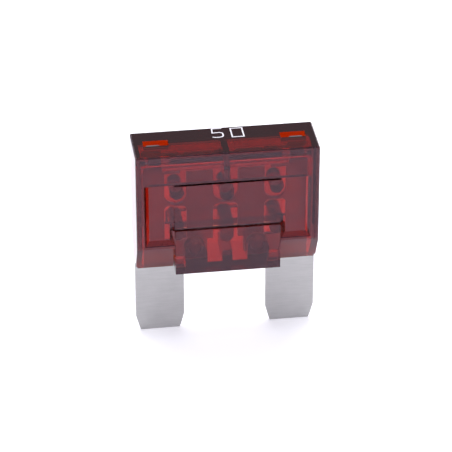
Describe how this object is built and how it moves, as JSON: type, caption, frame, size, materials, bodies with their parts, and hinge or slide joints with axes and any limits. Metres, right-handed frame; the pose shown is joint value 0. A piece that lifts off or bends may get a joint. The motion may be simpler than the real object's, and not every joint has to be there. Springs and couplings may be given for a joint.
{
  "type": "blade fuse",
  "caption": "Large automotive blade fuse: see-through red moulded housing with a snap-in bottom closure around a stamped metal element that ends in flat plug-in blades.",
  "frame": {"origin": "middle of the footprint, level with the blade tips", "axes": "+Z from the blade tips up to the top face with the windows, +X along the width from the left blade to the right one, +Y towards the back face"},
  "size_m": [0.0292, 0.0086, 0.0343],
  "materials": {
    "red_plastic": "glossy, clear red, moulded",
    "red_plastic_closure": "glossy, clear red, moulded",
    "zinc_stamping": "dull grey zinc, lightly rolled"
  },
  "bodies": {
    "root": {"housing": "red_plastic", "bottom_closure": "red_plastic_closure", "fuse_element": "zinc_stamping"}
  },
  "joints": []
}
